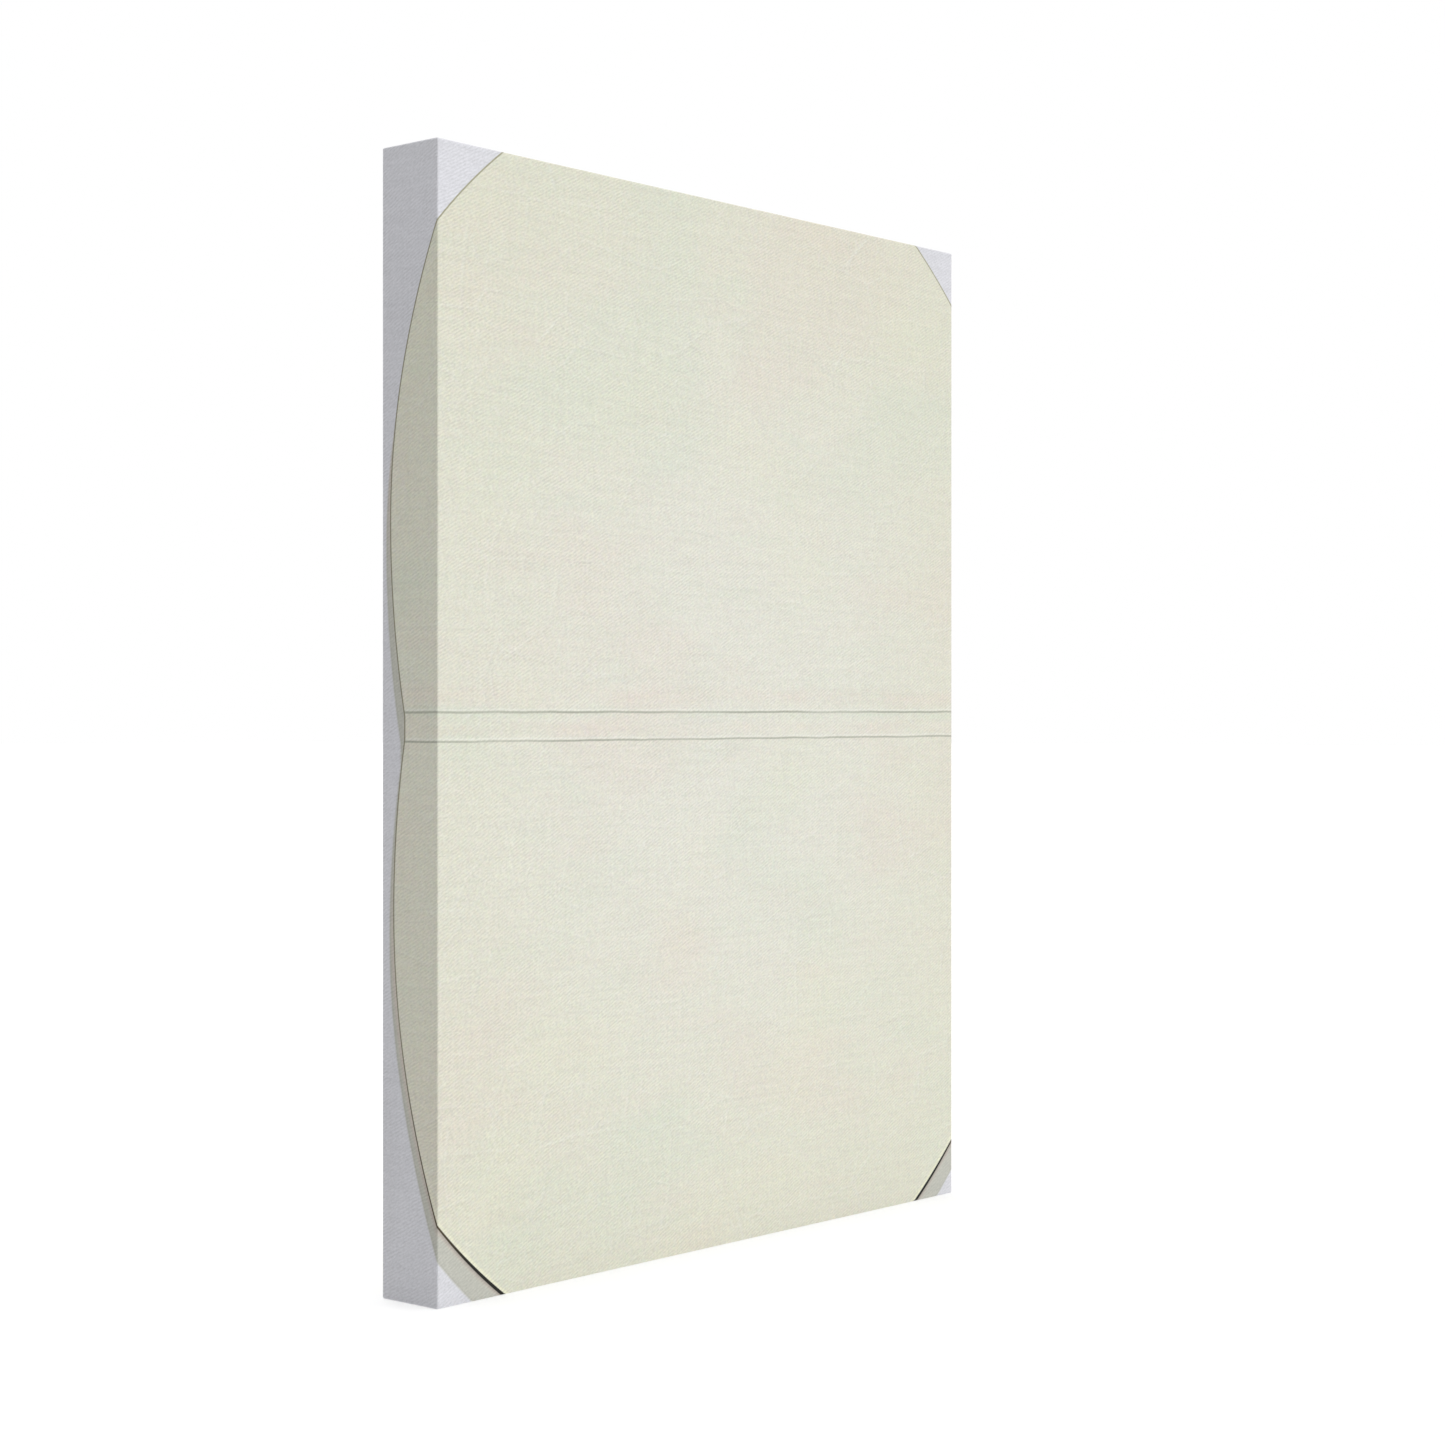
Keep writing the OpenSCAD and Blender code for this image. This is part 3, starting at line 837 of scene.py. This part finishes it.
def staples(side, material, rng):
    """The staples of one side, each a little off its mark."""
    points, faces = [], []
    section = wire_section(STAPLE_WIRE_W, STAPLE_WIRE_T, 0.12 * MM)
    outward = {"bottom": Vector((0, 0, -1)), "top": Vector((0, 0, 1)),
               "left": Vector((-1, 0, 0)), "right": Vector((1, 0, 0))}[side]
    along = Vector((0, 1, 0)).cross(outward)
    reach = HALF.z if side in ("bottom", "top") else HALF.x
    for s in staple_places(side_length(side)):
        yaw = math.radians(rng.uniform(-STAPLE_SWAY, STAPLE_SWAY))
        a_axis = along * math.cos(yaw) + outward * math.sin(yaw)
        o_axis = outward * math.cos(yaw) - along * math.sin(yaw)
        middle = Vector((MIDDLE.x, 0, MIDDLE.z)) + along * s
        middle += outward * (reach - STAPLE_INSET + rng.uniform(-STAPLE_SHIFT, STAPLE_SHIFT))
        path = []
        for a, y, turn in staple_path():
            up = -a_axis * math.cos(turn) + Vector((0, 1, 0)) * math.sin(turn)
            path.append((middle + a_axis * a + Vector((0, y, 0)), o_axis, up))
        sweep(path, section, points, faces)
    made = new_object(f"staple_row_{side}", points, faces, [material])
    sharpen(made, 40)
    return made


# ---------------------------------------------------------------- pads and threads
def lathe(name, centre, profile, steps, materials):
    """A turned piece about +Y from (radius, height) points that start and end on the axis."""
    points, faces = [], []
    rings = []
    for radius, rise in profile:
        if radius == 0:
            rings.append([len(points)] * steps)
            points.append(centre + Vector((0, rise, 0)))
            continue
        rings.append(list(range(len(points), len(points) + steps)))
        for i in range(steps):
            a = 2 * math.pi * i / steps
            points.append(centre + Vector((radius * math.cos(a), rise, radius * math.sin(a))))
    for low, high in zip(rings, rings[1:]):
        for i in range(steps):
            n = (i + 1) % steps
            face = [low[i], high[i], high[n], low[n]]
            faces.append(tuple(dict.fromkeys(face)))
    return new_object(name, points, faces, materials)


def bumper(side, material):
    """Moulded rubber pad: a thin foot ring, a waist and a domed top with a shallow dimple."""
    lo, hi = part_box(f"bumper_pad_{side}")
    radius = (hi.x - lo.x) / 2
    tall = hi.y - lo.y
    centre = Vector(((lo.x + hi.x) / 2, lo.y, (lo.z + hi.z) / 2))
    profile = [(0, 0), (radius * 0.98, 0), (radius, 0.15 * MM), (radius, 0.6 * MM),
               (radius * 0.97, 0.8 * MM), (radius * 0.93, 0.9 * MM)]
    for i in range(11):
        turn = math.pi / 2 * i / 10
        profile.append((radius * (0.45 + 0.47 * math.cos(turn) ** 0.8),
                        1.2 * MM + (tall - 1.2 * MM) * math.sin(turn)))
    profile += [(radius * 0.28, tall - 0.06 * MM), (radius * 0.12, tall - 0.16 * MM),
                (0, tall - 0.18 * MM)]
    made = lathe(f"rubber_pad_{side}", centre, profile, 48, [material])
    sharpen(made, 60)
    return made


def frayed_threads(material, rng):
    """Loose cotton ends along the cut edge of the flaps."""
    points, faces = [], []
    section = [(THREAD_R * math.cos(a), THREAD_R * math.sin(a))
               for a in (0, 2 * math.pi / 3, 4 * math.pi / 3)]
    flap_y = HALF.y + MIDDLE.y - CLOTH_T / 2
    for side, inward, along, reach, span in (
            ("bottom", Vector((0, 0, 1)), Vector((1, 0, 0)), HALF.z, HALF.x),
            ("top", Vector((0, 0, -1)), Vector((1, 0, 0)), HALF.z, HALF.x),
            ("left", Vector((1, 0, 0)), Vector((0, 0, 1)), HALF.x, HALF.z),
            ("right", Vector((-1, 0, 0)), Vector((0, 0, 1)), HALF.x, HALF.z)):
        for _ in range(round(span / (6 * MM))):
            s = rng.uniform(-1, 1) * (span - FLAP_W - 3 * MM)
            base = Vector((MIDDLE.x, flap_y, MIDDLE.z)) + along * s - inward * (reach - FLAP_W)
            base.y += flap_height(side, s, FLAP_W, side_length(side))
            length = rng.uniform(0.8, 3.2) * MM
            lean = rng.uniform(-0.9, 0.9)
            lift = rng.uniform(-0.05, 0.35)
            path = []
            for i in range(5):
                t = i / 4
                way = inward * t + along * lean * t * t + Vector((0, lift * t * t, 0))
                path.append((base - inward * 0.4 * MM + way * length, along, Vector((0, 1, 0))))
            sweep(path, section, points, faces)
    return new_object("canvas_frayed_threads", points, faces, [material])


# ---------------------------------------------------------------- CAD nodes that stay
def dress(node, material, bevel=0.0, segments=2):
    """Gives a CAD node its material, and rounds its edges with modifiers."""
    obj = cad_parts[node]
    if obj.material_slots:
        for slot in obj.material_slots:
            slot.material = material
    else:
        obj.data.materials.append(material)
    weld = obj.modifiers.new("weld", "WELD")
    weld.merge_threshold = 0.004 * MM
    if bevel:
        flat = obj.modifiers.new("flat", "DECIMATE")
        flat.decimate_type = "DISSOLVE"
        flat.angle_limit = math.radians(1)
        edge = obj.modifiers.new("edge", "BEVEL")
        edge.width = bevel
        edge.segments = segments
        edge.limit_method = "ANGLE"
        edge.angle_limit = math.radians(35)
        edge.use_clamp_overlap = True
    shading = obj.modifiers.new("shading", "WEIGHTED_NORMAL")
    shading.keep_sharp = False
    shading.weight = 80


# ---------------------------------------------------------------- building
rng = random.Random(11)

cloth = wrap_cloth()
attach(cloth, "canvas")
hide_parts("canvas")

threads = frayed_threads(cloth.data.materials[1], rng)
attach(threads, "canvas")

# Heart of each bar's tree: across the bar and through its depth
PINE_HEARTS = {"bottom": (-0.050, 0.035), "top": (0.690, -0.030),
               "left": (-0.330, 0.060), "right": (0.100, 0.085)}
for number, side in enumerate(SIDES):
    axis = "X" if side in ("bottom", "top") else "Z"
    pine = pine_material(f"pine_{side}", axis, 3.1 * number + 0.7, PINE_HEARTS[side])
    dress(f"stretcher_{side}", pine, 0.7 * MM, 3)

beech = {"across": beech_material("beech_across", "X"),
         "upright": beech_material("beech_upright", "Z")}
for end in ("top", "bottom"):
    for hand in ("left", "right"):
        for lie in ("across", "upright"):
            dress(f"key_{end}_{hand}_{lie}", beech[lie], 0.35 * MM, 2)

EVEN = (1, 1, 1)               # a grain that runs no particular way
wire = metal_material("staple_steel", srgb(196, 196, 194), srgb(170, 170, 168), 0.32, EVEN)
for side in SIDES:
    row = staples(side, wire, rng)
    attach(row, f"bar_{side}")
    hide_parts(f"staples_{side}")

strap_metal = metal_material("hanger_steel", srgb(200, 200, 198), srgb(168, 169, 170), 0.34,
                             (9, 1, 1))
ring_metal = metal_material("ring_nickel", srgb(212, 210, 204), srgb(190, 188, 182), 0.18, EVEN)
screw_metal = metal_material("screw_zinc", srgb(196, 198, 202), srgb(160, 162, 168), 0.36, EVEN)
rubber = rubber_material()
for hand in ("left", "right"):
    dress(f"hanger_strap_{hand}", strap_metal, 0.12 * MM, 2)
    dress(f"hanger_ring_{hand}", ring_metal)
    dress(f"hanger_screw_{hand}", screw_metal, 0.08 * MM, 2)
    pad = bumper(hand, rubber)
    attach(pad, "canvas")
    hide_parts(f"bumper_pad_{hand}")


# ---------------------------------------------------------------- stage, light and camera
FLOOR_HALF = 30.0
CAMERA_LENS = 66.8             # for the sensor width below, both in mm
CAMERA_SENSOR = 36
CAMERA_PLACE = (-1.1718, canvas_lo.y - 1.0029, 0.3004)
CAMERA_WAY = (0.7596, 0.6504, 0)


def sun(name, direction, strength, angle):
    """A distant lamp that shines from the given direction."""
    lamp = bpy.data.lights.new(name, "SUN")
    lamp.energy = strength
    lamp.angle = math.radians(angle)
    made = bpy.data.objects.new(name, lamp)
    bpy.context.scene.collection.objects.link(made)
    made.rotation_euler = Vector(direction).to_track_quat("Z", "Y").to_euler()


def stage():
    """Plain pale floor, soft light and a white studio behind it."""
    g = Graph("studio_floor")
    diffuse = g.node("ShaderNodeBsdfDiffuse", Color=(0.5, 0.5, 0.5, 1))
    glow = g.node("ShaderNodeEmission", Strength=0.5)
    both = g.node("ShaderNodeAddShader")
    g.tree.links.new(diffuse.outputs[0], both.inputs[0])
    g.tree.links.new(glow.outputs[0], both.inputs[1])
    out = g.node("ShaderNodeOutputMaterial")
    g.tree.links.new(both.outputs[0], out.inputs["Surface"])
    corners = [(x * FLOOR_HALF, y * FLOOR_HALF, 0) for x, y in ((-1, -1), (1, -1), (1, 1), (-1, 1))]
    floor = new_object("studio_floor", corners, [(0, 1, 2, 3)], [g.material], smooth=False)

    world = bpy.data.worlds.new("studio")
    world.use_nodes = True
    tree = world.node_tree
    tree.nodes.clear()
    seen = tree.nodes.new("ShaderNodeBackground")
    seen.inputs["Color"].default_value = (1, 1, 1, 1)
    lit = tree.nodes.new("ShaderNodeBackground")
    lit.inputs["Color"].default_value = (0.96, 0.98, 1, 1)
    lit.inputs["Strength"].default_value = 0.12
    path = tree.nodes.new("ShaderNodeLightPath")
    mix = tree.nodes.new("ShaderNodeMixShader")
    out = tree.nodes.new("ShaderNodeOutputWorld")
    tree.links.new(path.outputs["Is Camera Ray"], mix.inputs[0])
    tree.links.new(lit.outputs[0], mix.inputs[1])
    tree.links.new(seen.outputs[0], mix.inputs[2])
    tree.links.new(mix.outputs[0], out.inputs["Surface"])
    bpy.context.scene.world = world

    sun("overhead", (0, 0, 1), 3.0, 25)
    sun("key_front_right", (0.55, -0.80, 0.17), 1.5, 12)
    sun("fill_back", (0.45, 0.85, 0.20), 1.2, 20)
    bpy.context.scene.view_settings.view_transform = "Standard"


def camera():
    """The view from the left front, level with the middle of the canvas."""
    data = bpy.data.cameras.new("camera")
    data.lens = CAMERA_LENS
    data.sensor_width = CAMERA_SENSOR
    made = bpy.data.objects.new("camera", data)
    bpy.context.scene.collection.objects.link(made)
    made.location = CAMERA_PLACE
    made.rotation_euler = Vector(CAMERA_WAY).to_track_quat("-Z", "Y").to_euler()
    bpy.context.scene.camera = made


stage()
camera()
